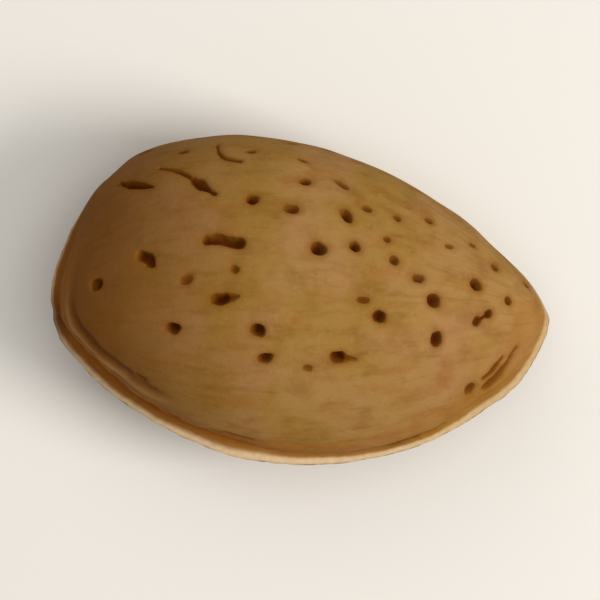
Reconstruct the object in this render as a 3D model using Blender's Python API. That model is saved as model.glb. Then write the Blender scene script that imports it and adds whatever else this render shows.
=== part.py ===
# An almond in its pitted shell, lying on one broad side. Metres, +Z up.
# +X runs from the round base to the tip, +Y is the rounded back edge and -Y the keeled
# edge. The origin is under the middle of the shell, on the surface that it rests on.
import math
import random

import bmesh
import bpy
from mathutils import Matrix, Vector, noise

MM = 0.001

# Driving dimensions
LENGTH = 34.0 * MM  # base to tip
BACK_WIDTH = 12.55 * MM  # line through both ends to the back edge, where it is widest
KEEL_WIDTH = 9.98 * MM  # the same line to the keeled edge
END_LINE = -1.3 * MM  # where that line is, across from the middle of the shell
THICKNESS = 15.6 * MM  # across the two broad sides, before the flat spot
RIDGE_SHIFT = 1.1 * MM  # how far the thickest line lies towards the back
FLAT_DEPTH = 0.2 * MM  # taken off the lowest point for the flat spot it rests on

# How round each end of a curve is: powers at the base and at the tip
BACK_POWERS = (0.44, 0.73)
KEEL_POWERS = (0.735, 0.635)
THICKNESS_POWERS = (0.50, 0.62)
BACK_EDGE_POWER = 1.0  # 1 is an ellipse across the shell
KEEL_EDGE_POWER = 1.22  # above 1 the edge is sharper than an ellipse

# The keel is a rim on the joint plane, left standing by a groove on either side of it
KEEL_RIM = (0.45 * MM, 0.95 * MM)  # heights where the rim's edge ends and its groove starts
KEEL_GROOVE = (1.1 * MM, 3.7 * MM)  # heights where the groove is deepest and where it ends
KEEL_DEPTH = 1.05 * MM
CHEEK_POWER = 1.0  # above 1 the shell bulges out over the groove, steepest beside the rim
SECOND_GROOVE = (4.35 * MM, 0.45 * MM)  # height and half width of the line beside the groove
SECOND_DEPTH = 0.22 * MM
BACK_LINE = (0.75 * MM, 0.5 * MM)  # the fine double line along the back edge
BACK_LINE_DEPTH = 0.16 * MM
# Share of a groove's full depth at places round the edge, in degrees: 0 is the tip, 90 the
# middle of the keeled edge, 180 the base and 270 the middle of the back edge
KEEL_ROUND = (
    (0, 0.0), (8, 0.35), (25, 0.55), (50, 0.35), (90, 0.55), (120, 1.0), (165, 1.0), (185, 0.6), (215, 0.0),
)
SECOND_ROUND = ((138, 0.0), (152, 1.0), (172, 1.0), (190, 0.0))
BACK_LINE_ROUND = ((225, 0.0), (245, 1.0), (320, 1.0), (345, 0.0))

# How far the edge stands out from its smooth curves, in mm, at the same places round it
EDGE_TOUCHES = (
    (0, 0.15), (21, 0.3), (32, 0.0), (60, -0.15), (90, 0.0), (112, 0.1), (140, 0.0), (165, -0.12), (178, 0.0),
    (198, -0.28), (211, 0.0), (222, 0.3), (242, 0.1), (262, 0.0), (290, -0.07), (312, 0.0), (337, 0.12),
    (346, 0.0), (360, 0.15),
)
TOUCH_REACH = 12 * MM  # the touches fade from here in to the middle

STEM_SCAR = (1.3 * MM, 0.2 * MM)  # radius and depth of the dent where the stem was
WAVE_HEIGHT = 0.16 * MM  # slow unevenness of the whole surface
WAVE_LENGTH = 8.0 * MM

# Facets
SEGMENTS_ROUND = 48
RINGS_ALONG = 38
PIT_SIDES = 8
LOOP_HEIGHTS = (0.25 * MM, 0.55 * MM, 1.0 * MM, 1.4 * MM, 2.1 * MM)

# The pits of the upper side: place along and across in mm, length and width in mm, and
# turn in degrees from the length of the shell
UPPER_PITS = (
    (-11.2, 7.9, 1.8, 0.72, -8), (-6.5, 7.8, 1.7, 0.7, -33), (-8.1, 8.6, 1.4, 0.5, -15),
    (-4.6, 9.7, 1.5, 0.5, -25), (-3.1, 10.1, 0.8, 0.55, 0), (-7.3, 10.1, 1.2, 0.6, 10),
    (-3, 6.8, 1, 0.9, 0), (-0.5, 6.2, 1.2, 0.8, 0), (0.5, 8.1, 0.9, 0.75, 0),
    (0.2, 9.5, 0.8, 0.6, 0), (2.8, 8, 1.3, 0.55, -35), (3.2, 5.8, 1.5, 0.9, -60),
    (4.6, 6.2, 0.8, 0.65, -30), (6.7, 5.5, 0.8, 0.65, -30), (8.8, 5.4, 0.8, 0.65, -30),
    (6, 4.2, 0.7, 0.6, 0), (10.2, 3.7, 0.8, 0.6, -20), (11.8, 3.7, 0.75, 0.6, -30),
    (11.3, 5, 0.7, 0.55, -30), (1.4, 3.5, 1.25, 1.05, -30), (3.9, 3.7, 0.95, 0.85, -20),
    (6.4, 2.7, 0.85, 0.8, 0), (8.1, 1.5, 1, 0.75, 0), (13.4, 2.3, 0.75, 0.7, 0),
    (15.4, 1.1, 0.65, 0.65, 0), (11.9, 1.1, 1.05, 0.9, -60), (9.1, 0, 1, 0.95, 0),
    (14.1, 0, 0.7, 0.65, 0), (12.4, -1.2, 1.35, 0.6, 38), (4.3, 0, 0.95, 0.6, 0),
    (5.4, -1.1, 1.05, 1, 0), (9.2, -2.6, 1.2, 0.9, 80), (2.8, -3.9, 1.4, 0.9, 0),
    (0.6, -4.6, 0.7, 0.5, -15), (-2.2, -3.9, 1.2, 0.8, 15), (-2.7, -2, 1, 0.9, 0),
    (-5.2, 0.2, 1.8, 1, 0), (-8.4, -1.9, 1.2, 1, -15), (-5, 4.1, 2.9, 0.9, -8),
    (-4.4, 2.4, 1.2, 0.8, -15), (-7.6, 1.5, 1.15, 0.75, 10), (-10.4, 2.9, 1.25, 0.85, -45),
    (-13.7, 1, 0.95, 0.85, 0), (11.8, -6.2, 1.4, 0.75, 75),
)
PIT_DEPTH = 0.85  # share of the pit's width

# The other pits lie in loose rows from base to tip, over the back edge and the under side
SEED = 7
ROW_ANGLES = range(-136, 20, 13)  # degrees round the shell: 0 is the back edge, -90 underneath
ROW_STEP = 2.5 * MM
PIT_GAP = 1.75 * MM  # least distance between the middles of two pits
SMALL_PIT = (0.6 * MM, 1.0 * MM)  # width near the tip and the back edge, and elsewhere
STRETCHES = (1.0, 1.1, 1.25, 1.25, 1.6, 2.2)  # length over width, drawn by lot
FLAT_CLEARANCE = 4.6 * MM  # no pit this near the middle of the flat spot
KEEL_SLITS = 6  # narrow slits beside the groove, on each side of the keel
SLIT_WIDTH = 0.5 * MM


def swell(share, powers):
    """Height, 0 to 1, of a curve that starts and ends at nought, at a share of the length."""
    low, high = powers
    peak = low / (low + high)
    share = min(max(share, 1e-9), 1 - 1e-9)
    return (share / peak) ** low * ((1 - share) / (1 - peak)) ** high


def smooth_step(low, high, value):
    share = min(max((value - low) / (high - low), 0.0), 1.0)
    return share * share * (3 - 2 * share)


def along_table(table, value):
    """Reads a list of (value, height) pairs, easing from each to the next."""
    for (here, height), (there, next_height) in zip(table, table[1:]):
        if here <= value <= there:
            return height + (next_height - height) * smooth_step(here, there, value)
    return 0.0


def section(share):
    """Half thickness, thickest line, and widths to the back and to the keel from it."""
    thick = THICKNESS / 2 * swell(share, THICKNESS_POWERS)
    shift = RIDGE_SHIFT * swell(share, THICKNESS_POWERS)
    back = BACK_WIDTH * swell(share, BACK_POWERS) - shift
    keel = KEEL_WIDTH * swell(share, KEEL_POWERS) + shift
    return thick, END_LINE + shift, back, keel


def smooth_shell(direction):
    """The point of the smooth shell in this direction of a unit ball."""
    share = (1 + direction.x) / 2
    thick, ridge, back, keel = section(share)
    turn = math.hypot(direction.y, direction.z) or 1.0
    across, up = direction.y / turn, direction.z / turn
    side, power = (back, BACK_EDGE_POWER) if across >= 0 else (keel, KEEL_EDGE_POWER)
    height = math.copysign(thick * abs(up) ** power, up)
    return Vector(((share - 0.5) * LENGTH, ridge + side * across, height))


def turn_of(point):
    """Degrees round the edge: 0 is the tip, 90 the middle of the keel and 180 the base."""
    return math.degrees(math.atan2(-point.y, point.x)) % 360


def groove_depth(point):
    """How far the grooves beside the keel and along the back push the surface inwards."""
    height = abs(point.z)
    turn = turn_of(point)
    deepest, end = KEEL_GROOVE
    past = min(max((height - deepest) / (end - deepest), 0), 1)
    main = smooth_step(*KEEL_RIM, height) * (1 - past) ** CHEEK_POWER
    place, half = SECOND_GROOVE
    second = 1 - smooth_step(0, half, abs(height - place))
    place, half = BACK_LINE
    back_line = 1 - smooth_step(0, half, abs(height - place))
    return (
        KEEL_DEPTH * main * along_table(KEEL_ROUND, turn)
        + SECOND_DEPTH * second * along_table(SECOND_ROUND, turn)
        + BACK_LINE_DEPTH * back_line * along_table(BACK_LINE_ROUND, turn)
    )


def relief(point):
    """A point of the smooth shell, moved for its grooves, stem scar and slow unevenness."""
    inwards = Vector((-point.x, -point.y, 0)).normalized()
    radius, dent = STEM_SCAR
    from_stem = (point - Vector((-LENGTH / 2, END_LINE, 0))).length
    scar = Vector((dent * (1 - smooth_step(0.3 * radius, radius, from_stem)), 0, 0))
    wave = point.normalized() * noise.noise(point / WAVE_LENGTH) * WAVE_HEIGHT
    touch = along_table(EDGE_TOUCHES, turn_of(point)) * MM * min(point.xy.length / TOUCH_REACH, 1) ** 2
    return point + inwards * (groove_depth(point) - touch) + scar + wave


def direction_at(x, angle):
    """The unit ball's direction at a place along the shell and an angle round it."""
    along = min(max(2 * x / LENGTH, -0.999), 0.999)
    ring = math.sqrt(1 - along**2)
    return Vector((along, ring * math.cos(angle), ring * math.sin(angle)))


def direction_above(x, y):
    """The unit ball's direction to the upper surface over a place of the plan."""
    _, ridge, back, keel = section(x / LENGTH + 0.5)
    offset = y - ridge
    across = offset / (back if offset >= 0 else keel)
    return direction_at(x, math.acos(min(max(across, -0.999), 0.999)))


def surface_frame(direction):
    """Where the surface is in a direction, with its normal and its lengthwise tangent."""
    small = 1e-3
    here = relief(smooth_shell(direction))
    first = Vector((0, -direction.z, direction.y)).normalized()
    steps = [
        relief(smooth_shell((direction + step * small).normalized())) - here
        for step in (first, first.cross(direction))
    ]
    normal = steps[0].cross(steps[1]).normalized()
    if normal.dot(here) < 0:
        normal.negate()
    lengthwise = Vector((1, 0, 0)) - normal * normal.x
    return here, normal, lengthwise.normalized()


def row_pits(taken):
    """The small pits by rule: as direction, length, width and turn, kept clear of each other."""
    draw = random.Random(SEED)
    pits = []
    for row_angle in ROW_ANGLES:
        x = -0.45 * LENGTH + ROW_STEP * draw.random()
        while x < 0.47 * LENGTH:
            angle = math.radians(row_angle + draw.uniform(-4, 4))
            fine = smooth_step(0.3, 1.0, 0.6 * (x / LENGTH + 0.5) + 0.4 * abs(math.cos(angle)))
            wide = (SMALL_PIT[1] + (SMALL_PIT[0] - SMALL_PIT[1]) * fine) * draw.uniform(0.8, 1.1)
            long = wide * draw.choice(STRETCHES)
            turn = draw.gauss(0, 25)
            kept = draw.random() < 0.8
            direction = direction_at(x, angle)
            place = smooth_shell(direction)
            under_foot = place.z < 0 and place.xy.length < FLAT_CLEARANCE
            gap = PIT_GAP * (1 - 0.3 * fine)
            if kept and not under_foot and all((place - other).length > gap for other in taken):
                taken.append(place)
                pits.append((direction, long, wide, turn))
            x += ROW_STEP * draw.uniform(0.75, 1.3) * (1.1 - 0.35 * fine)
    return pits


def keel_slits():
    """Narrow slits along both sides of the keel, on the upper side only near the base."""
    draw = random.Random(SEED)
    pits = []
    for number in range(KEEL_SLITS):
        for side in (1, -1):
            x = LENGTH * (-0.33 + 0.5 * number / (KEEL_SLITS - 1)) + draw.uniform(-1, 1) * MM
            angle = math.radians(180 - side * draw.uniform(20, 28))
            long = draw.uniform(1.2, 3.0) * MM
            turn = draw.uniform(-7, 7)
            if side < 0 or x < -2 * MM:
                pits.append((direction_at(x, angle), long, SLIT_WIDTH, turn))
    return pits


def all_pits():
    """Every pit as direction, length, width and turn in degrees."""
    upper = [
        (direction_above(x * MM, y * MM), long * MM, wide * MM, turn)
        for x, y, long, wide, turn in UPPER_PITS
    ]
    return upper + row_pits([smooth_shell(pit[0]) for pit in upper]) + keel_slits()


def shell_body():
    """The shell without its pits: a ball's grid drawn out to the nut's shape."""
    shape = bmesh.new()
    bmesh.ops.create_uvsphere(shape, u_segments=SEGMENTS_ROUND, v_segments=RINGS_ALONG, radius=1)
    bmesh.ops.rotate(shape, verts=shape.verts, matrix=Matrix.Rotation(math.pi / 2, 3, "Y"))
    for vert in shape.verts:
        vert.co = smooth_shell(vert.co.normalized())
    # Edge loops at the heights where the rim and its grooves turn
    for height in LOOP_HEIGHTS:
        for level in (height, -height):
            everything = shape.verts[:] + shape.edges[:] + shape.faces[:]
            bmesh.ops.bisect_plane(
                shape, geom=everything, dist=0.04 * MM, plane_co=(0, 0, level), plane_no=(0, 0, 1)
            )
    for vert in shape.verts:
        vert.co = relief(vert.co)
    return shape


def flatten_foot(shape):
    """Slices the lowest point off level, and returns the place on the cut under the middle."""
    floor = min(vert.co.z for vert in shape.verts) + FLAT_DEPTH
    everything = shape.verts[:] + shape.edges[:] + shape.faces[:]
    cut = bmesh.ops.bisect_plane(
        shape, geom=everything, dist=1e-7, plane_co=(0, 0, floor), plane_no=(0, 0, -1), clear_outer=True
    )
    rim = [edge for edge in cut["geom_cut"] if isinstance(edge, bmesh.types.BMEdge)]
    bmesh.ops.edgeloop_fill(shape, edges=rim)
    bmesh.ops.recalc_face_normals(shape, faces=shape.faces)
    xs, ys = [vert.co.x for vert in shape.verts], [vert.co.y for vert in shape.verts]
    return Vector(((min(xs) + max(xs)) / 2, (min(ys) + max(ys)) / 2, floor))


def mesh_object(name, shape, foot):
    """The finished shape as an object, moved so that its foot is at the origin."""
    bmesh.ops.translate(shape, verts=shape.verts, vec=-foot)
    mesh = bpy.data.meshes.new(name)
    shape.to_mesh(mesh)
    shape.free()
    made = bpy.data.objects.new(name, mesh)
    bpy.context.scene.collection.objects.link(made)
    return made


def pit_cutters(foot):
    """One tapered plug for each pit, all in one object."""
    plugs = bmesh.new()
    for direction, long, wide, turn in all_pits():
        place, normal, lengthwise = surface_frame(direction)
        depth, above = PIT_DEPTH * wide, 0.25 * wide
        frame = Matrix((lengthwise, normal.cross(lengthwise), normal)).transposed().to_4x4()
        plug = bmesh.ops.create_cone(
            plugs, cap_ends=True, segments=PIT_SIDES, radius1=0.2, radius2=0.6, depth=depth + above
        )["verts"]
        bmesh.ops.translate(plugs, verts=plug, vec=(0, 0, (above - depth) / 2))
        bmesh.ops.scale(plugs, verts=plug, vec=(long, wide, 1))
        bmesh.ops.transform(
            plugs,
            verts=plug,
            matrix=Matrix.Translation(place) @ frame @ Matrix.Rotation(math.radians(turn), 4, "Z"),
        )
    cutters = mesh_object("pit_cutters", plugs, foot)
    cutters.display_type = "WIRE"
    cutters.hide_render = True
    return cutters


def shell_material():
    material = bpy.data.materials.new("shell")
    material.use_nodes = True
    surface = material.node_tree.nodes["Principled BSDF"]
    surface.inputs["Base Color"].default_value = (0.37, 0.20, 0.065, 1)
    surface.inputs["Roughness"].default_value = 0.75
    surface.inputs["Metallic"].default_value = 0
    return material


def main():
    for old in list(bpy.data.objects):
        bpy.data.objects.remove(old)
    shape = shell_body()
    foot = flatten_foot(shape)
    almond = mesh_object("almond", shape, foot)
    almond.data.materials.append(shell_material())
    almond.data.shade_smooth()
    pits = almond.modifiers.new("pits", "BOOLEAN")
    pits.operation = "DIFFERENCE"
    pits.solver = "EXACT"
    pits.object = pit_cutters(foot)


main()
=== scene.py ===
# An almond in its shell on a pale table, seen from straight above.
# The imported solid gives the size; this script lays the finished shell over it.
import math
import random

import bmesh
import bpy
from mathutils import Matrix, Vector, noise
from mathutils.kdtree import KDTree


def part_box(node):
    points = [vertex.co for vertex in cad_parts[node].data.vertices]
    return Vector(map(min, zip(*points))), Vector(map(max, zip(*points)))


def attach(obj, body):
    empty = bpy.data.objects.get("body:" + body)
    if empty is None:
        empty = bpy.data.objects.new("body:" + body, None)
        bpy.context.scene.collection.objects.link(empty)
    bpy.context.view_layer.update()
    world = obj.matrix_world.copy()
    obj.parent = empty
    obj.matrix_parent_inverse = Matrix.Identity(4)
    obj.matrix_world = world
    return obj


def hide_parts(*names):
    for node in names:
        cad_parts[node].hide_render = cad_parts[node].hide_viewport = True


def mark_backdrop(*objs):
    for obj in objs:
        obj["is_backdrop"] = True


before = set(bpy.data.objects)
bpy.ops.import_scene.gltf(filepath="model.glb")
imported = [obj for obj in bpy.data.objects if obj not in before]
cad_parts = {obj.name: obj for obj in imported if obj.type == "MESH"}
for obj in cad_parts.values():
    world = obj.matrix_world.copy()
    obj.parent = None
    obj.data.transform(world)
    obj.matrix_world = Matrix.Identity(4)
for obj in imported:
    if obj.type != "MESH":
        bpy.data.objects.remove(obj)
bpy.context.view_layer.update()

millimetre = 0.001
cadLow, cadHigh = (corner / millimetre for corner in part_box("almond"))


# The shell is modelled in millimetres: +X to the tip, +Y to the back edge, -Y to the keel
shell = {
    "length": 34.0,
    "backWidth": 12.55,  # line through both ends to the back edge
    "keelWidth": 9.98,  # the same line to the keeled edge
    "endLine": -1.3,  # where that line is, across from the middle
    "thickness": 15.6,
    "ridgeShift": 1.1,  # how far the thickest line lies towards the back
    "backPowers": (0.44, 0.73),  # roundness at the base and at the tip
    "keelPowers": (0.735, 0.635),
    "thicknessPowers": (0.50, 0.62),
    "keelEdgePower": 1.22,  # above 1 the keeled edge is sharper than an ellipse
    # degrees round the edge from the tip, by way of the keel, and how far it stands out there
    "edgeTouches": (
        (0, 0.15), (21, 0.3), (32, 0.0), (60, -0.15), (90, 0.0), (112, 0.1), (140, 0.0), (165, -0.12),
        (178, 0.0), (198, -0.28), (211, 0.0), (222, 0.3), (242, 0.1), (262, 0.0), (290, -0.07), (312, 0.0),
        (337, 0.12), (346, 0.0), (360, 0.15),
    ),
    "touchReach": 12.0,  # how far out from the middle they act in full
    "waveHeight": 0.16,  # slow unevenness
    "waveLength": 8.0,
    "lumpHeight": 0.07,  # smaller unevenness on top of it
    "lumpLength": 2.4,
    "flatDepth": 0.2,  # taken off underneath, for the spot it rests on
    "ballCuts": 6,
    "flowRound": 8.0,  # how long the fibres' pattern is drawn out round the shell
}

# The keel: a pale rim between two grooves. Degrees go round the edge as above.
keel = {
    "rim": (0.45, 0.95),  # heights where the rim's edge ends and its groove starts
    "groove": (1.1, 3.7),  # heights where the groove is deepest and where it ends
    "depth": 1.05,
    "cheekPower": 1.0,  # above 1 the shell bulges out over the groove
    "lip": 0.14,  # how far the rim stands above the groove's floor
    "round": (
        (0, 0.0), (8, 0.35), (25, 0.55), (50, 0.35), (90, 0.55), (120, 1.0), (163, 1.0), (183, 0.5),
        (210, 0.0),
    ),
    "creaseHeight": 1.15,  # the crack at the foot of the cheek
    "creaseHalf": 0.3,
    "creaseDepth": 0.24,
    "creaseLength": 1.7,  # how often it comes and goes
    # the crack's dark band is painted shade of the crevice under the cheek, with some dark of its own
    "crackShadeHeight": 1.2,  # its dark edges
    "crackShadeHalf": 0.5,
    "creaseRound": ((0, 0.1), (30, 0.3), (78, 0.4), (112, 0.8), (160, 1.0), (178, 0.4), (205, 0.0)),
    # the line on the cheek near the base, and how high it runs by degrees
    "secondHeights": ((130, 4.6), (156, 4.4), (168, 4.15), (180, 3.7), (195, 3.4)),
    "secondHalf": 0.38,
    "secondDepth": 0.2,
    "secondRound": ((138, 0.0), (152, 0.8), (172, 1.0), (186, 0.0)),
    "ridgeBelow": 0.55,  # the pale ridge beside it
    "ridgeHalf": 0.36,
    "ridgeRise": 0.1,
    "wobble": 0.2,  # how far these lines stray up and down
    "wobbleLength": 3.6,
    "wobbleFine": (0.4, 0.9),  # share and length of the smaller straying
    "wobbleFrom": (0.7, 1.6),  # heights between which it starts
    "fibre": 0.12,  # roughness in the grooves
    "fibreLength": 0.7,
    "ribRough": 0.055,  # unevenness of the rim itself
    "ribLengths": (1.1, 0.4),
    "ribEnd": (0.7, 1.0),
    "wrinkle": 0.09,  # fine lengthwise wrinkles of the shell beside it
    "wrinkleFrom": (1.2, 1.8),
    "wrinkleEnd": (3.0, 6.0),
    "wrinkleStretch": (0.35, 0.8, 1.9),
    # the upper side's rim is painted paler than the under side: painted highlight on its own pale colour
    "underPale": 0.4,  # how far the under side's rim is as pale as the upper one
    "rimTops": ((0, 0.76), (95, 0.77), (125, 0.68), (200, 0.64), (360, 0.76)),  # where its pale band ends
    "brownEnd": (2.8, 3.6),
    "lipEnd": (1.0, 1.8),
    "paleStart": (0.2, 0.42),
    "brownRound": (
        (0, 0.3), (20, 0.35), (60, 0.4), (100, 0.75), (128, 1.0), (163, 1.0), (182, 0.4), (205, 0.0),
    ),
    # how much pale rim shows round the edge: its own paleness, with painted highlight along the bottom and
    # painted shade towards the base
    "paleRound": (
        (0, 0.4), (30, 0.6), (60, 0.85), (90, 1.0), (150, 1.0), (178, 0.8), (200, 0.55), (222, 0.0),
        (345, 0.0), (360, 0.4),
    ),
}

# Where the shell needs finer faces for these lines, in degrees and heights as above
fineZones = {
    "notKeel": (222, 350),  # the back edge
    "keelHeight": 5.3,
    "backHeight": 1.6,
    "rimHeights": (0.2, 1.9),
    "secondTurns": (138, 192),
    "secondHeights": (3.2, 5.0),
}

# Rough openings in the keel's grooves, more of them beside the groove underneath
keelOpenings = {
    "count": 26,
    "along": (-14.2, 11.0),
    "inGroove": (0.95, 1.3),  # heights
    "beside": (2.0, 3.4),
    "length": (1.5, 4.5),
    "half": (0.1, 0.2),
    "taper": (0.4, 0.9, 1, 0.8, 0.35),
    "stray": 0.12,
    "depth": 0.3,
    "dark": 0.8,
}

# Fine nicks across the lower half of the rim
rimNicks = {
    "count": 4,
    "along": (-13.0, 8.0),
    "lean": 0.4,
    "heights": (-0.85, -0.6, -0.3, -0.05),
    "half": 0.07,
    "depth": 0.1,
    "dark": 0.4,
}

# Narrow slits beside the keel, fewer on the upper side
keelSlit = {
    "count": 6,
    "from": -0.33,  # share of the length, from the middle
    "span": 0.5,
    "stray": 1,
    "angles": (20, 28),
    "length": (1.2, 3.0),
    "turn": 7,
    "width": 0.5,
    "upperEnd": -2,
    "dark": 0.85,
}

backLine = {
    "height": 0.75,  # a fine double line along the back edge
    "half": 0.45,
    "depth": 0.16,
    "round": ((225, 0.0), (245, 1.0), (320, 1.0), (345, 0.0)),
}

stemScar = {
    "radius": 1.6,
    "depth": 0.2,
    "rough": 0.14,  # fibrous unevenness, only well below the rim
    "roughBelow": (0.3, 1.2),
    "stained": 3.4,
    "stainDrop": 1.5,  # how far below the rim the stain's middle is
    "fray": (0.3, 1.3),  # unevenness of its edge, and the length of that
}

# Pits of the upper side: place along and across, length, width, turn in degrees, darkness
seenPits = (
    (-7.6, 9.95, 0.8, 0.5, 8, 0.6), (-3.2, 10.1, 0.75, 0.5, 5, 0.5), (-3.05, 6.78, 0.9, 0.78, 0, 0.95),
    (-0.45, 6.18, 1.15, 0.75, -5, 0.75), (0.5, 8.05, 0.9, 0.65, 0, 0.8), (0.25, 9.5, 0.9, 0.4, -25, 0.45),
    (2.95, 7.9, 1.3, 0.5, -35, 0.5), (3.25, 5.75, 1.15, 0.7, -57, 1.0), (4.65, 6.25, 0.78, 0.52, -30, 0.6),
    (6.7, 5.6, 0.66, 0.54, -30, 0.55), (8.8, 5.42, 0.7, 0.54, -35, 0.6), (7.4, 6.4, 0.5, 0.34, -20, 0.3),
    (4.8, 5.0, 0.45, 0.34, -60, 0.25), (6.0, 4.15, 0.6, 0.52, 0, 0.6), (10.2, 3.7, 0.7, 0.42, 0, 0.38),
    (11.85, 3.8, 0.62, 0.46, 10, 0.42), (11.4, 5.0, 0.52, 0.36, -30, 0.3), (1.35, 3.5, 1.12, 0.9, -30, 1.0),
    (3.85, 3.64, 0.88, 0.72, -25, 1.0), (6.43, 2.7, 0.76, 0.66, -30, 0.75),
    (7.65, 3.35, 0.42, 0.34, 0, 0.25), (8.1, 1.48, 0.88, 0.64, 0, 0.75),
    (13.35, 2.3, 0.68, 0.64, -60, 0.65), (15.42, 1.1, 0.62, 0.6, 0, 0.7),
    (11.95, 1.1, 0.98, 0.78, -50, 1.0), (9.1, 0.0, 0.95, 0.85, -30, 1.0), (14.1, 0.0, 0.7, 0.62, -50, 0.75),
    (12.75, -0.92, 0.68, 0.6, 10, 0.95), (11.97, -1.42, 0.66, 0.56, 40, 0.85),
    (4.33, 0.02, 0.95, 0.5, -5, 0.65), (5.42, -1.05, 0.95, 0.82, -25, 1.0),
    (9.2, -2.6, 1.15, 0.78, 85, 1.0), (0.6, -4.6, 0.75, 0.5, -15, 0.4),
    (-2.2, -3.9, 1.1, 0.72, 12, 0.95), (-2.7, -2.0, 1.05, 0.85, -20, 1.0),
    (-8.4, -1.9, 1.05, 0.82, -15, 1.0), (-4.3, 2.1, 0.72, 0.58, -40, 0.55),
    (-7.6, 1.45, 1.0, 0.72, 20, 0.45), (-13.65, 1.1, 0.95, 0.88, 0, 0.9),
    (11.83, -6.15, 1.15, 0.75, 84, 0.62), (-5.2, 0.1, 1.5, 0.85, 3, 1.0), (2.7, -3.88, 1.1, 0.85, 0, 1.0),
)

# Longer openings and marks of the upper side: places along and across with the half width
# at each, then depth and darkness. The shallow ones are only stains and scratches.
seenFurrows = (
    (
        ((-12.1, 7.98, 0.18), (-11.5, 7.9, 0.3), (-10.8, 7.75, 0.3), (-10.2, 7.65, 0.18), (-9.6, 7.55, 0.1)),
        0.6, 1.0,
    ),
    (((-9.1, 8.72, 0.12), (-8.3, 8.62, 0.17), (-7.6, 8.4, 0.2), (-6.95, 8.08, 0.16)), 0.32, 0.7),
    (((-6.95, 8.05, 0.22), (-6.5, 7.75, 0.36), (-6.05, 7.42, 0.26), (-5.5, 7.1, 0.12)), 0.65, 1.0),
    (((-5.4, 10.4, 0.14), (-5.25, 9.9, 0.16), (-4.8, 9.55, 0.22), (-3.9, 9.4, 0.18)), 0.32, 0.6),
    (((-6.15, 4.1, 0.34), (-5.4, 4.1, 0.4), (-4.7, 3.95, 0.4), (-3.95, 3.82, 0.44)), 0.7, 0.95),
    (((-10.75, 3.1, 0.36), (-10.45, 2.92, 0.42), (-10.2, 2.68, 0.36), (-10.05, 2.5, 0.26)), 0.7, 0.95),
    (((-5.0, 0.14, 0.4), (-4.5, 0.22, 0.3), (-4.05, 0.3, 0.14)), 0.25, 0.7),
    (((2.9, -3.92, 0.4), (3.4, -3.97, 0.26), (3.9, -4.03, 0.12)), 0.22, 0.6),
    (((12.75, -0.92, 0.12), (11.97, -1.42, 0.12)), 0.2, 0.7),
    (((9.6, -2.4, 0.1), (10.8, -1.95, 0.2), (11.9, -1.5, 0.12)), 0.04, 0.22),
    (((-5.5, 6.1, 0.25), (-4.6, 5.6, 0.32)), 0.03, 0.2),
    (((14.8, -3.2, 0.16), (14.3, -4.1, 0.26), (13.75, -5.0, 0.42), (13.1, -5.9, 0.5)), 0.15, 0.5),
    (((13.75, -3.9, 0.12), (13.15, -4.75, 0.24), (12.6, -5.3, 0.18)), 0.14, 0.55),
    (((5.6, -8.7, 0.2), (4.3, -8.9, 0.3), (3.4, -8.9, 0.2)), 0.03, 0.22),
    (((7.6, -7.0, 0.16), (6.4, -7.2, 0.24)), 0.03, 0.2),
    (((-10.9, -5.1, 0.16), (-10.4, -5.4, 0.26)), 0.1, 0.4),
)

# Longer openings on the under side, in the same form
underFurrows = (
    (
        ((-12.4, -5.6, 0.1), (-9.0, -7.0, 0.26), (-5.5, -7.6, 0.2), (-1.5, -8.0, 0.26), (3.0, -8.1, 0.12)),
        0.35, 0.8,
    ),
    (((-11.2, -3.2, 0.1), (-9.6, -3.6, 0.3), (-8.0, -3.9, 0.12)), 0.5, 0.9),
    (((5.4, -6.4, 0.1), (6.6, -6.3, 0.24), (8.2, -5.9, 0.1)), 0.4, 0.8),
    (((-9.5, 6.8, 0.12), (-8.2, 6.9, 0.3), (-7.2, 6.6, 0.1)), 0.5, 0.9),
    (((-4.0, 8.2, 0.1), (-2.9, 8.5, 0.24), (-1.4, 8.4, 0.12)), 0.4, 0.8),
)

# The other pits lie in loose rows over the back edge and the under side
smallPits = {
    "seed": 7,
    "rowAngles": range(-136, 20, 13),  # degrees round the shell: 0 is the back edge, -90 underneath
    "rowStep": 2.5,
    "gap": 1.75,
    "width": (0.6, 1.0),  # near the tip and the back edge, and elsewhere
    "widths": (0.8, 1.1),  # share of that, by chance
    "stretches": (1.0, 1.1, 1.25, 1.25, 1.6, 2.2),
    "reach": (-0.45, 0.47),  # share of the length, from the middle
    "steps": (0.75, 1.3),  # share of the row's step, by chance
    "angleStray": 4,
    "turnSpread": 25,
    "kept": 0.8,  # share of them that stays
    "flatClearance": 4.6,
    "dark": (0.75, 0.5),  # the middle value, and how far it changes from place to place
    "darkLimits": (0.35, 1.0),
}

pitShape = {
    "depth": 0.9,  # share of the width
    "roundness": 2.3,
    "wallPower": 0.75,  # below 1 the walls are steep and the floor is round
    "lip": 0.26,  # how far outside the mouth the surface starts to sink
    "lipDepth": 0.05,
    "ragged": 0.08,  # unevenness of the mouth's edge
    "raggedLength": 0.55,
    "raggedFine": (0.25, 0.2),  # share and length of the smaller unevenness
    "mouth": -0.05,  # where the edge starts
    "stain": 0.42,  # how far out the stain goes
    "shallow": 0.1,  # openings less deep than this are only marks
    "coreShift": 0.15,  # how early the dark inside starts
    "margins": (0.6, 0.32, 0.1),  # how far out from the mouth each round of finer faces goes
    "wallBand": 0.28,  # how far in the last round goes
    "facing": 0.2,  # least share of the pit's direction in a face that it lowers
}


def swell(share, powers):
    low, high = powers
    peak = low / (low + high)
    share = min(max(share, 1e-9), 1 - 1e-9)
    return (share / peak) ** low * ((1 - share) / (1 - peak)) ** high


def smoothStep(low, high, value):
    share = min(max((value - low) / (high - low), 0.0), 1.0)
    return share * share * (3 - 2 * share)


def bump(middle, half, value):  # 1 at the middle, easing to 0 at half to either side
    return 1 - smoothStep(0, half, abs(value - middle))


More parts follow.
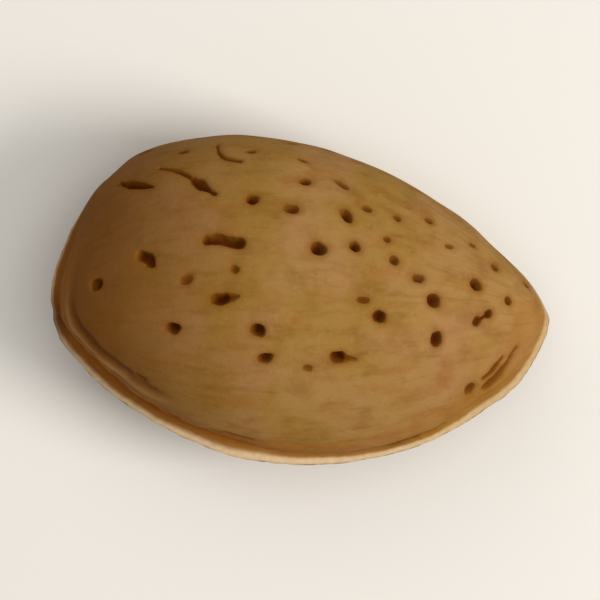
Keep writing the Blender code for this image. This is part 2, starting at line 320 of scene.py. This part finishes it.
def alongTable(table, value):  # reads (value, height) pairs, easing from each to the next
    for (here, height), (there, nextHeight) in zip(table, table[1:]):
        if here <= value <= there:
            return height + (nextHeight - height) * smoothStep(here, there, value)
    return 0.0


def section(share):  # half thickness, thickest line, and widths to the back and the keel
    thick = shell["thickness"] / 2 * swell(share, shell["thicknessPowers"])
    shift = shell["ridgeShift"] * swell(share, shell["thicknessPowers"])
    back = shell["backWidth"] * swell(share, shell["backPowers"]) - shift
    keeled = shell["keelWidth"] * swell(share, shell["keelPowers"]) + shift
    return thick, shell["endLine"] + shift, back, keeled


def smoothShell(direction):  # from a unit ball's direction to the smooth shell
    share = (1 + direction.x) / 2
    thick, ridge, back, keeled = section(share)
    turn = math.hypot(direction.y, direction.z) or 1.0
    across, up = direction.y / turn, direction.z / turn
    side, power = (back, 1.0) if across >= 0 else (keeled, shell["keelEdgePower"])
    height = math.copysign(thick * abs(up) ** power, up)
    return Vector(((share - 0.5) * shell["length"], ridge + side * across, height))


def turnOf(point):  # degrees round the edge: 0 is the tip, 90 the keel's middle, 180 the base
    return math.degrees(math.atan2(-point.y, point.x)) % 360


def edgeMarks(point):  # shares, 0 to 1, of the keel's lines and the back line at a point
    turn = turnOf(point)
    share, length = keel["wobbleFine"]
    stray = noise.noise(point / keel["wobbleLength"]) + share * noise.noise(point / length)
    height = abs(point.z)
    height += keel["wobble"] * stray * (0.2 + 0.8 * smoothStep(*keel["wobbleFrom"], height))
    deepest, end = keel["groove"]
    top = alongTable(keel["rimTops"], turn)
    second = alongTable(keel["secondHeights"], turn)
    past = min(max((height - deepest) / (end - deepest), 0), 1)
    cheek = smoothStep(*keel["rim"], height) * (1 - past) ** keel["cheekPower"]
    brown = smoothStep(top - 0.03, top + 0.1, height) * (1 - smoothStep(*keel["brownEnd"], height))
    lip = smoothStep(top - 0.03, top + 0.12, height) * (1 - smoothStep(*keel["lipEnd"], height))
    pale = 1 - smoothStep(top - 0.1, top + 0.03, height)
    pale *= 0.15 + 0.85 * smoothStep(*keel["paleStart"], height)
    # the upper side's rim is painted paler, as painted highlight
    pale *= 1.0 if point.z > 0 else keel["underPale"]
    grooved = alongTable(keel["round"], turn)
    creased = alongTable(keel["creaseRound"], turn)
    doubled = alongTable(keel["secondRound"], turn)
    return {
        "groove": cheek * grooved,
        "crease": bump(keel["creaseHeight"], keel["creaseHalf"], height) * creased,
        "crackAndShade": bump(keel["crackShadeHeight"], keel["crackShadeHalf"], height) * creased,
        "second": bump(second, keel["secondHalf"], height) * doubled,
        "ridge": bump(second - keel["ridgeBelow"], keel["ridgeHalf"], height) * doubled,
        "back": bump(backLine["height"], backLine["half"], height) * alongTable(backLine["round"], turn),
        "brown": brown * alongTable(keel["brownRound"], turn),
        "lip": lip * grooved,
        "pale": pale * alongTable(keel["paleRound"], turn),
    }


def scarShare(point, radius, drop=0.0):
    fromStem = (point - Vector((-shell["length"] / 2, shell["endLine"], -drop))).length
    fray, length = stemScar["fray"]
    return 1 - smoothStep(0.3 * radius, radius, fromStem * (1 + fray * noise.noise(point / length)))


def relief(point):  # the smooth shell with its grooves, stem scar and unevenness
    inwards = Vector((-point.x, -point.y, 0)).normalized()
    marks = edgeMarks(point)
    depth = keel["depth"] * marks["groove"] + backLine["depth"] * marks["back"]
    depth += keel["secondDepth"] * marks["second"] - keel["ridgeRise"] * marks["ridge"]
    depth += keel["creaseDepth"] * marks["crease"] * (0.6 + noise.noise(point / keel["creaseLength"]))
    scar = scarShare(point, stemScar["radius"])
    fibres = noise.noise(point / keel["fibreLength"])
    fibrous = scarShare(point, stemScar["stained"], stemScar["stainDrop"])
    fibrous *= smoothStep(*stemScar["roughBelow"], -point.z)
    depth += fibres * (keel["fibre"] * marks["brown"] + stemScar["rough"] * fibrous)
    level = abs(point.z)
    keeled = min(3 * alongTable(keel["round"], turnOf(point)), 1)
    onRim = (1 - smoothStep(*keel["ribEnd"], level)) * keeled
    coarse, fine = keel["ribLengths"]
    depth += keel["ribRough"] * onRim * (noise.noise(point / coarse) + 0.7 * noise.noise(point / fine))
    beside = smoothStep(*keel["wrinkleFrom"], level) * (1 - smoothStep(*keel["wrinkleEnd"], level)) * keeled
    depth += keel["wrinkle"] * beside * noise.noise(point * Vector(keel["wrinkleStretch"]))
    reach = min(point.xy.length / shell["touchReach"], 1) ** 2
    depth -= alongTable(shell["edgeTouches"], turnOf(point)) * reach
    wave = noise.noise(point / shell["waveLength"]) * shell["waveHeight"]
    wave += noise.noise(point / shell["lumpLength"]) * shell["lumpHeight"]
    sunk = math.copysign(keel["lip"] * marks["lip"], point.z)
    dents = inwards * depth + Vector((stemScar["depth"] * scar, 0, -sunk))
    return point + dents + point.normalized() * wave


def directionAt(x, angle):
    along = min(max(2 * x / shell["length"], -0.999), 0.999)
    ring = math.sqrt(1 - along**2)
    return Vector((along, ring * math.cos(angle), ring * math.sin(angle)))


def directionOver(x, y, side=1):  # the ball's direction to the surface over a place, or under it
    _, ridge, back, keeled = section(x / shell["length"] + 0.5)
    offset = y - ridge
    across = offset / (back if offset >= 0 else keeled)
    return directionAt(x, side * math.acos(min(max(across, -0.999), 0.999)))


def surfaceFrame(direction):  # place, outward normal and lengthwise tangent
    small = 1e-3
    here = relief(smoothShell(direction))
    first = Vector((0, -direction.z, direction.y)).normalized()
    steps = [
        relief(smoothShell((direction + step * small).normalized())) - here
        for step in (first, first.cross(direction))
    ]
    normal = steps[0].cross(steps[1]).normalized()
    if normal.dot(here) < 0:
        normal.negate()
    lengthwise = Vector((1, 0, 0)) - normal * normal.x
    return here, normal, lengthwise.normalized()


def rowPits(taken):
    draw = random.Random(smallPits["seed"])
    narrow, wideMost = smallPits["width"]
    start, end = (share * shell["length"] for share in smallPits["reach"])
    middling, change = smallPits["dark"]
    palest, darkest = smallPits["darkLimits"]
    stray = smallPits["angleStray"]
    pits = []
    for rowAngle in smallPits["rowAngles"]:
        x = start + smallPits["rowStep"] * draw.random()
        while x < end:
            angle = math.radians(rowAngle + draw.uniform(-stray, stray))
            fine = smoothStep(0.3, 1.0, 0.6 * (x / shell["length"] + 0.5) + 0.4 * abs(math.cos(angle)))
            wide = (wideMost + (narrow - wideMost) * fine) * draw.uniform(*smallPits["widths"])
            long = wide * draw.choice(smallPits["stretches"])
            turn = draw.gauss(0, smallPits["turnSpread"])
            kept = draw.random() < smallPits["kept"]
            direction = directionAt(x, angle)
            place = smoothShell(direction)
            underFoot = place.z < 0 and place.xy.length < smallPits["flatClearance"]
            gap = smallPits["gap"] * (1 - 0.3 * fine)
            if kept and not underFoot and all((place - other).length > gap for other in taken):
                taken.append(place)
                dark = middling + change * noise.noise(place * 2.3)
                pits.append((direction, long, wide * 0.9, turn, min(max(dark, palest), darkest)))
            x += smallPits["rowStep"] * draw.uniform(*smallPits["steps"]) * (1.1 - 0.35 * fine)
    return pits


def keelSlits():
    draw = random.Random(smallPits["seed"])
    stray, lean = keelSlit["stray"], keelSlit["turn"]
    pits = []
    for number in range(keelSlit["count"]):
        share = keelSlit["from"] + keelSlit["span"] * number / (keelSlit["count"] - 1)
        for side in (1, -1):
            x = shell["length"] * share + draw.uniform(-stray, stray)
            angle = math.radians(180 - side * draw.uniform(*keelSlit["angles"]))
            long = draw.uniform(*keelSlit["length"])
            turn = draw.uniform(-lean, lean)
            if side < 0 or x < keelSlit["upperEnd"]:
                pits.append((directionAt(x, angle), long, keelSlit["width"], turn, keelSlit["dark"]))
    return pits


def directionOnKeel(x, height):  # the ball's direction to the keel's side at a height
    thick = section(x / shell["length"] + 0.5)[0]
    up = min((abs(height) / thick) ** (1 / shell["keelEdgePower"]), 0.95)
    return directionAt(x, math.pi - math.copysign(math.asin(up), height))


def keelCracks():  # each with its points and half widths, its depth and its darkness
    draw = random.Random(smallPits["seed"] + 1)
    taper, stray, lean = keelOpenings["taper"], keelOpenings["stray"], rimNicks["lean"]
    cracks = []
    for number in range(keelOpenings["count"]):
        x = draw.uniform(*keelOpenings["along"])
        inGroove = number % 2 == 0
        side = draw.choice((-1, 1)) if inGroove else -1
        level = draw.uniform(*keelOpenings["inGroove" if inGroove else "beside"])
        long = draw.uniform(*keelOpenings["length"])
        half = draw.uniform(*keelOpenings["half"])
        points = []
        for step, share in enumerate(taper):
            along = x + long * (step / (len(taper) - 1) - 0.5)
            height = side * (level + draw.uniform(-stray, stray))
            points.append((directionOnKeel(along, height), half * share))
        cracks.append((points, keelOpenings["depth"], keelOpenings["dark"]))
    for number in range(rimNicks["count"]):
        x = draw.uniform(*rimNicks["along"])
        slope = draw.uniform(-lean, lean)
        points = [
            (directionOnKeel(x + slope * height, height), rimNicks["half"])
            for height in rimNicks["heights"]
        ]
        cracks.append((points, rimNicks["depth"], rimNicks["dark"]))
    return cracks


def allPits():  # each with its place, its own axes and its half sizes
    seen = [(directionOver(x, y), long, wide, turn, dark) for x, y, long, wide, turn, dark in seenPits]
    furrows = [(1, *furrow) for furrow in seenFurrows] + [(-1, *furrow) for furrow in underFurrows]
    taken = [smoothShell(pit[0]) for pit in seen]
    for side, path, depth, _ in furrows:
        if depth > 2 * pitShape["shallow"]:
            taken += [smoothShell(directionOver(x, y, side)) for x, y, _ in path]
    pits = []
    for direction, long, wide, turn, dark in seen + rowPits(taken) + keelSlits():
        place, normal, lengthwise = surfaceFrame(direction)
        along = Matrix.Rotation(math.radians(turn), 3, normal) @ lengthwise
        pits.append({
            "place": place, "normal": normal, "along": along, "across": normal.cross(along),
            "halfLong": long / 2, "halfWide": wide / 2, "dark": dark, "path": [],
            "depth": wide * pitShape["depth"] * (0.15 + 0.85 * dark**2), "radius": long / 2,
            "seen": len(pits) < len(seen),
        })
    lines = []
    for side, path, depth, dark in furrows:
        points = [(directionOver(x, y, side), half) for x, y, half in rounded(path)]
        lines.append((side > 0, points, depth, dark))
    for points, depth, dark in keelCracks():
        path = rounded([(*direction, half) for direction, half in points])
        lines.append((False, [(Vector(point[:3]).normalized(), point[3]) for point in path], depth, dark))
    for isSeen, points, depth, dark in lines:
        samples = [(relief(smoothShell(direction)), half) for direction, half in points]
        place, normal, _ = surfaceFrame(points[len(points) // 2][0])
        pits.append({
            "place": place, "normal": normal, "path": samples, "dark": dark, "depth": depth,
            "halfWide": max(half for _, half in samples), "seen": isSeen,
            "radius": max((sample - place).length for sample, _ in samples),
        })
    return pits


def rounded(path):  # the path's corners smoothed off, in steps of about a tenth of a millimetre
    points = [Vector(point) for point in path]
    points = [2 * points[0] - points[1], *points, 2 * points[-1] - points[-2]]
    reach = 0.1 if len(points[0]) == 3 else 0.006
    smooth = []
    for before, start, end, after in zip(points, points[1:], points[2:], points[3:]):
        steps = max(2, round((end - start).length / reach))
        squared = 2 * before - 5 * start + 4 * end - after
        cubed = 3 * (start - end) + after - before
        for step in range(steps + 1):
            share = step / steps
            bend = squared * share**2 + cubed * share**3
            smooth.append(start + ((end - before) * share + bend) / 2)
    return smooth


def outsideOf(pit, place):  # millimetres outside the pit's mouth, less than 0 inside it
    if pit["path"]:
        return min((place - sample).length - half for sample, half in pit["path"])
    offset = place - pit["place"]
    along = abs(offset.dot(pit["along"])) / pit["halfLong"]
    across = abs(offset.dot(pit["across"])) / pit["halfWide"]
    roundness = pitShape["roundness"]
    return ((along**roundness + across**roundness) ** (1 / roundness) - 1) * pit["halfWide"]


def nearTree(places):
    tree = KDTree(len(places))
    for index, place in enumerate(places):
        tree.insert(place, index)
    tree.balance()
    return tree


def onLines(level, place):  # whether a place is where the keel's lines need finer faces
    turn, height = turnOf(place), abs(place.z)
    keelEnd, keelStart = fineZones["notKeel"]
    keeled = turn < keelEnd or turn > keelStart
    if level == 0:
        return height < fineZones["keelHeight" if keeled else "backHeight"]
    if level > 1 or not keeled:
        return False
    low, high = fineZones["rimHeights"]
    first, last = fineZones["secondTurns"]
    lowSecond, highSecond = fineZones["secondHeights"]
    return low < height < high or (first < turn < last and lowSecond < height < highSecond)


def fineBall(pits):  # a ball whose faces are small where the shell has its details
    ball = bmesh.new()
    bmesh.ops.create_icosphere(ball, subdivisions=shell["ballCuts"], radius=1)
    for level, margin in enumerate(pitShape["margins"]):
        places = [relief(smoothShell(vert.co)) for vert in ball.verts]
        tree = nearTree(places)
        chosen = {index for index, place in enumerate(places) if onLines(level, place)}
        for pit in pits:
            if level == 2 and not pit["seen"]:
                continue
            for place, index, _ in tree.find_range(pit["place"], pit["radius"] + pit["halfWide"] + margin):
                outside = outsideOf(pit, place)
                if outside < margin and (level < 2 or outside > -pitShape["wallBand"]):
                    chosen.add(index)
        edges = [edge for edge in ball.edges if all(vert.index in chosen for vert in edge.verts)]
        bmesh.ops.subdivide_edges(ball, edges=edges, cuts=1, use_grid_fill=True)
        bmesh.ops.triangulate(ball, faces=[face for face in ball.faces if len(face.verts) > 3])
        for vert in ball.verts:
            vert.co.normalize()
        ball.verts.index_update()
        print("finer faces, round", level + 1, "now", len(ball.faces))
    return ball


def sinkPits(shape, pits, marks):  # lowers the shell into each pit and notes where it did
    verts = list(shape.verts)
    tree = nearTree([vert.co for vert in verts])
    sunk = {}
    mouth, lip = pitShape["mouth"], pitShape["lip"]
    share, length = pitShape["raggedFine"]
    for pit in pits:
        deepest = max(pit["halfWide"], 0.1)
        shallow = pit["depth"] < pitShape["shallow"]
        for place, index, _ in tree.find_range(pit["place"], pit["radius"] + pit["halfWide"] + 1.0):
            vert = verts[index]
            if vert.normal.dot(pit["normal"]) < pitShape["facing"]:
                continue
            ragged = noise.noise(place / pitShape["raggedLength"]) + share * noise.noise(place / length)
            outside = outsideOf(pit, place) + ragged * min(pitShape["ragged"], 0.25 * deepest)
            inside = min(max(-outside / deepest, 0), 1)
            bowl = (1 - (1 - inside) ** 2) ** pitShape["wallPower"]
            depth = pit["depth"] * bowl
            if not shallow:
                depth += pitShape["lipDepth"] * (1 - smoothStep(mouth, lip, outside))
            core = min(max(-outside / deepest + pitShape["coreShift"], 0), 1)
            stain = pit["dark"] * (1 - smoothStep(mouth, pitShape["stain"], outside))
            marks["pit"][index] = max(marks["pit"][index], core if not shallow else 0.0)
            marks["stain"][index] = max(marks["stain"][index], stain)
            if not shallow and outside < lip:
                marks["dark"][index] = max(marks["dark"][index], pit["dark"])
            if depth > sunk.get(index, (0, None))[0]:
                sunk[index] = (depth, pit["normal"])
    for index, (depth, normal) in sunk.items():
        verts[index].co -= normal * depth


def makeShell():
    pits = allPits()
    print("pits and furrows:", len(pits))
    shape = fineBall(pits)
    count = len(shape.verts)
    names = ("pit", "dark", "stain", "brown", "pale", "crackAndShade", "second", "ridge", "back", "scar")
    marks = {name: [0.0] * count for name in names}
    flow = []
    for vert in shape.verts:
        smooth = smoothShell(vert.co)
        wider = shell["flowRound"] / (math.hypot(vert.co.y, vert.co.z) or 1.0)
        flow.append((smooth.x, wider * vert.co.y, wider * vert.co.z))
        here = edgeMarks(smooth)
        for name in ("brown", "pale", "crackAndShade", "second", "ridge", "back"):
            marks[name][vert.index] = here[name]
        marks["scar"][vert.index] = scarShare(smooth, stemScar["stained"], stemScar["stainDrop"])
        vert.co = relief(smooth)
    shape.normal_update()
    print("shell formed:", count, "points")
    sinkPits(shape, pits, marks)
    floor = min(vert.co.z for vert in shape.verts) + shell["flatDepth"]
    for vert in shape.verts:
        vert.co.z = max(vert.co.z, floor)
    fitToFrame(shape)
    piece = finishedPiece("almond_shell", shape)
    for name, values in marks.items():
        piece.data.attributes.new(name, "FLOAT", "POINT").data.foreach_set("value", values)
    piece.data.attributes.new("flow", "FLOAT_VECTOR", "POINT").data.foreach_set(
        "vector", [number for place in flow for number in place]
    )
    return piece


def fitToFrame(shape):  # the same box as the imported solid, then metres
    lows = Vector([min(vert.co[i] for vert in shape.verts) for i in range(3)])
    highs = Vector([max(vert.co[i] for vert in shape.verts) for i in range(3)])
    sizes = [(cadHigh[i] - cadLow[i]) / (highs[i] - lows[i]) for i in range(3)]
    print("fit to the frame, scale", [round(size, 4) for size in sizes])
    bmesh.ops.translate(shape, verts=shape.verts, vec=-lows)
    bmesh.ops.scale(shape, verts=shape.verts, vec=sizes)
    bmesh.ops.translate(shape, verts=shape.verts, vec=cadLow)
    bmesh.ops.scale(shape, verts=shape.verts, vec=[millimetre] * 3)


def finishedPiece(name, shape):
    mesh = bpy.data.meshes.new(name)
    shape.to_mesh(mesh)
    shape.free()
    mesh.shade_smooth()
    piece = bpy.data.objects.new(name, mesh)
    bpy.context.scene.collection.objects.link(piece)
    return piece


# A socket that takes Python's operators and turns them into Math nodes
class Wire:
    def __init__(self, tree, socket=None):
        self.tree = tree
        self.socket = socket

    # Any node: its type, its settings, its sockets by name or number, and which output is wanted
    def node(self, kind, settings=None, sockets=None, output=0):
        made = self.tree.nodes.new(kind)
        for name, value in (settings or {}).items():
            setattr(made, name, value)
        for name, value in (sockets or {}).items():
            if isinstance(value, Wire):
                self.tree.links.new(value.socket, made.inputs[name])
            else:
                made.inputs[name].default_value = value
        return Wire(self.tree, made.outputs[output] if made.outputs else None)

    def math(self, operation, *values):
        return self.node("ShaderNodeMath", {"operation": operation}, dict(enumerate(values)))

    def __add__(self, other):
        return self.math("ADD", self, other)

    def __sub__(self, other):
        return self.math("SUBTRACT", self, other)

    def __rsub__(self, other):
        return self.math("SUBTRACT", other, self)

    def __mul__(self, other):
        return self.math("MULTIPLY", self, other)

    __radd__ = __add__
    __rmul__ = __mul__

    def between(self, low, high):  # 0 below low, 1 above high, easing between
        settings = {"interpolation_type": "SMOOTHSTEP"}
        return self.node("ShaderNodeMapRange", settings, {"Value": self, "From Min": low, "From Max": high})

    def mix(self, first, second, blend="MIX"):  # two colours: this wire is the share of the second
        settings = {"data_type": "RGBA", "blend_type": blend}
        return self.node("ShaderNodeMix", settings, {0: self, 6: first, 7: second}, 2)


def colour(red, green, blue):  # 0 to 255 as a screen shows them, to Blender's linear numbers
    values = [value / 255 for value in (red, green, blue)]
    return (*[v / 12.92 if v <= 0.04045 else ((v + 0.055) / 1.055) ** 2.4 for v in values], 1.0)


# Colours as the screen shows them; each is mixed in by a pattern or by a mark on the mesh
shellFinish = {
    "tan": colour(156, 119, 66),
    "ochre": colour(149, 113, 52),
    "pink": colour(162, 119, 78),
    "pale": colour(180, 138, 84),
    "umber": colour(214, 192, 160),  # multiplied in for the darker mottling
    "orange": colour(146, 96, 42),
    "fleck": colour(112, 70, 30),
    # the base end: partly its own darker, redder stain, partly painted shade
    "baseEndStainAndShade": colour(104, 58, 14),
    # the pale rim: its own colour, with painted highlight where it shows most
    "rim": colour(226, 196, 154),
    "groove": colour(152, 90, 24),
    # dark of the crack under the cheek, mostly painted shade; the second line takes the same dark
    "crackAndShade": colour(80, 38, 8),
    "stain": colour(124, 76, 22),
    "wall": colour(112, 64, 6),
    "pit": colour(88, 36, 4),
    "scar": colour(80, 36, 12),
    "towardsBase": (0.0, -16.0),  # along the shell, where the darker end starts and is full
    "baseEndStainAndShadeShare": 0.85,
    "crackAndShadeShare": 0.6,
    "roughness": 0.7,
    "specular": 0.05,
    "bump": 0.9,
    "bumpDepth": 0.1 * millimetre,
}

# Noise patterns: scale, detail and roughness
shellPatterns = {
    "broad": (0.14, 2.0, 0.5),
    "hue": (0.2, 3.0, 0.5),
    "cloudy": (0.6, 4.0, 0.55),
    "fine": (2.4, 4.0, 0.6),
    "grain": (9.0, 3.0, 0.6),
    "fibres": (1.9, 4.0, 0.6),
    "streaks": (1.0, 4.0, 0.6),
    "flecks": (4.2, 2.0, 0.5),
}

# Where each colour's pattern starts and is full, and how much of the colour then shows
shellMottling = {
    "ochre": (0.42, 0.6, 1.0),
    "pink": (0.46, 0.68, 0.6),
    "umber": (0.42, 0.74, 0.5),
    "umberFibres": (0.48, 0.74, 0.5),
    "orange": (0.5, 0.72, 0.45),
    "pale": (0.5, 0.8, 0.22),
    "fleck": (0.68, 0.75, 0.35),
}

# How much of its colour each mark shows, and how much more the fine pattern adds
markStrengths = {
    "brown": (0.45, 0.8),
    "ridge": (0.5, 0.0),
    "back": (0.15, 0.5),
    "second": (0.4, 0.6),
    "pale": (0.65, 0.6),
    "scar": (0.5, 0.7),
    "stain": (0.35, 0.6),
}


def shellMaterial():
    finish = shellFinish
    material = bpy.data.materials.new("almond shell")
    material.use_nodes = True
    tree = material.node_tree
    tree.nodes.clear()
    make = Wire(tree)

    def mark(name):
        return make.node("ShaderNodeAttribute", {"attribute_name": name}, output=2)

    def pattern(name, place):
        scale, detail, roughness = shellPatterns[name]
        sockets = {"Vector": place, "Scale": scale, "Detail": detail, "Roughness": roughness}
        return make.node("ShaderNodeTexNoise", {}, sockets)

    def mottled(wire, name):
        low, high, most = shellMottling[name]
        return wire.between(low, high) * most

    objectPlace = make.node("ShaderNodeTexCoord", output=3)
    place = make.node("ShaderNodeMapping", {}, {"Vector": objectPlace, "Scale": (1000, 1000, 1000)})
    elsewhere = make.node("ShaderNodeMapping", {}, {"Vector": place, "Location": (31, 17, 5)})
    flow = make.node("ShaderNodeAttribute", {"attribute_name": "flow"}, output=1)
    fibrePlace = make.node("ShaderNodeMapping", {}, {"Vector": flow, "Scale": (0.2, 1.0, 1.0)})
    streakPlace = make.node("ShaderNodeMapping", {}, {"Vector": place, "Scale": (0.28, 0.7, 0.7)})

    broad = pattern("broad", place)
    hue = pattern("hue", elsewhere)
    cloudy = pattern("cloudy", place)
    fine = pattern("fine", elsewhere)
    grain = pattern("grain", place)
    fibres = pattern("fibres", fibrePlace)
    streaks = pattern("streaks", streakPlace)
    flecks = pattern("flecks", elsewhere)
    along = make.node("ShaderNodeSeparateXYZ", {}, {0: place})

    def unevenMark(name):
        least, uneven = markStrengths[name]
        return mark(name) * (least + uneven * fine)

    base = mottled(broad, "ochre").mix(finish["tan"], finish["ochre"])
    base = mottled(hue, "pink").mix(base, finish["pink"])
    base = mottled(cloudy, "umber").mix(base, finish["umber"], "MULTIPLY")
    base = mottled(fibres, "umberFibres").mix(base, finish["umber"], "MULTIPLY")
    base = mottled(streaks, "orange").mix(base, finish["orange"])
    base = mottled(fine, "pale").mix(base, finish["pale"])
    base = mottled(flecks, "fleck").mix(base, finish["fleck"])
    # the base end is painted darker: partly its own stain, partly painted shade
    towardsBase = (along + cloudy * 8 - 4).between(*finish["towardsBase"])
    base = (towardsBase * finish["baseEndStainAndShadeShare"]).mix(base, finish["baseEndStainAndShade"])
    base = unevenMark("brown").mix(base, finish["groove"])
    base = unevenMark("ridge").mix(base, finish["pale"])
    base = unevenMark("back").mix(base, finish["groove"])
    base = unevenMark("second").mix(base, finish["crackAndShade"])
    # painted shade along the crevice under the cheek, broken up by the fine pattern
    crackShaded = (mark("crackAndShade") + 0.7 * (fine - 0.5)).between(0.3, 1.0)
    base = (crackShaded * finish["crackAndShadeShare"]).mix(base, finish["crackAndShade"])
    # the pale rim, dimmed towards the base as painted shade
    base = (unevenMark("pale") * (0.95 - 0.25 * towardsBase)).mix(base, finish["rim"])
    base = unevenMark("scar").mix(base, finish["scar"])
    base = unevenMark("stain").mix(base, finish["stain"])
    pit = mark("pit") + 0.16 * (grain - 0.5)
    dark = mark("dark")
    inside = (pit.between(0.4, 0.85) * dark).mix(finish["wall"], finish["pit"])
    base = (pit.between(0.0, 0.5) * (0.72 + 0.28 * dark)).mix(base, inside)

    height = fibres * 0.6 + grain * 0.25 + fine * 0.4
    bumps = make.node("ShaderNodeBump", {}, {
        "Strength": finish["bump"], "Distance": finish["bumpDepth"], "Height": height,
    })
    rough = finish["roughness"] + 0.2 * (grain - 0.5) + 0.12 * dark
    surface = make.node("ShaderNodeBsdfPrincipled", {}, {
        "Base Color": base, "Roughness": rough, "Normal": bumps, "Specular IOR Level": finish["specular"],
    })
    make.node("ShaderNodeOutputMaterial", {}, {"Surface": surface})
    return material


table = {
    "half": 1.5,  # metres
    "below": 0.02 * millimetre,
    "colour": colour(232, 230, 226),
    "roughness": 0.85,
}


def floorPiece():
    shape = bmesh.new()
    bmesh.ops.create_grid(shape, x_segments=1, y_segments=1, size=table["half"])
    bmesh.ops.translate(shape, verts=shape.verts, vec=(0, 0, cadLow.z * millimetre - table["below"]))
    floor = finishedPiece("floor", shape)
    material = bpy.data.materials.new("pale table")
    material.use_nodes = True
    surface = material.node_tree.nodes["Principled BSDF"]
    surface.inputs["Base Color"].default_value = table["colour"]
    surface.inputs["Roughness"].default_value = table["roughness"]
    floor.data.materials.append(material)
    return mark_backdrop(floor)


studio = {
    "viewWidth": 41.0 * millimetre,  # how much of the table the picture shows at the nut's middle
    "lens": 300,  # long, as in a picture taken from some way off
    "key": {"place": (0.28, -0.07, 0.26), "size": 0.16, "power": 1.03, "tint": (1.0, 0.955, 0.895)},
    "fill": {"place": (-0.14, 0.26, 0.30), "size": 0.34, "power": 0.3, "tint": (1.0, 0.95, 0.85)},
    "top": {"place": (0.06, 0.0, 0.42), "size": 0.30, "power": 0.6, "tint": (1.0, 0.98, 0.95)},
    "surround": (0.96, 0.93, 0.88, 1.0),
    "surroundStrength": 0.28,
}


def lightStudio():
    middle = Vector((0, 0, cadHigh.z * millimetre / 2))
    for name in ("key", "fill", "top"):
        made = bpy.data.lights.new(name, "AREA")
        made.size = studio[name]["size"]
        made.energy = studio[name]["power"]
        made.color = studio[name]["tint"]
        lamp = bpy.data.objects.new(name, made)
        lamp.location = studio[name]["place"]
        lamp.rotation_euler = (middle - lamp.location).to_track_quat("-Z", "Y").to_euler()
        bpy.context.scene.collection.objects.link(lamp)
    world = bpy.data.worlds.new("studio")
    world.use_nodes = True
    background = world.node_tree.nodes["Background"]
    background.inputs["Color"].default_value = studio["surround"]
    background.inputs["Strength"].default_value = studio["surroundStrength"]
    bpy.context.scene.world = world
    bpy.context.scene.view_settings.view_transform = "Standard"


def cameraAbove():  # +X of the shell to the right of the picture, +Y up
    lens = bpy.data.cameras.new("camera")
    lens.lens = studio["lens"]
    lens.clip_start = 0.005
    camera = bpy.data.objects.new("camera", lens)
    distance = studio["viewWidth"] * lens.lens / lens.sensor_width
    camera.location = (0, 0, cadHigh.z * millimetre / 2 + distance)
    bpy.context.scene.collection.objects.link(camera)
    bpy.context.scene.camera = camera


almond = makeShell()
almond.data.materials.append(shellMaterial())
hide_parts("almond")
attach(almond, "root")
print("shell finished:", len(almond.data.polygons), "faces")

floorPiece()
lightStudio()
cameraAbove()
print("table, lights and camera set")
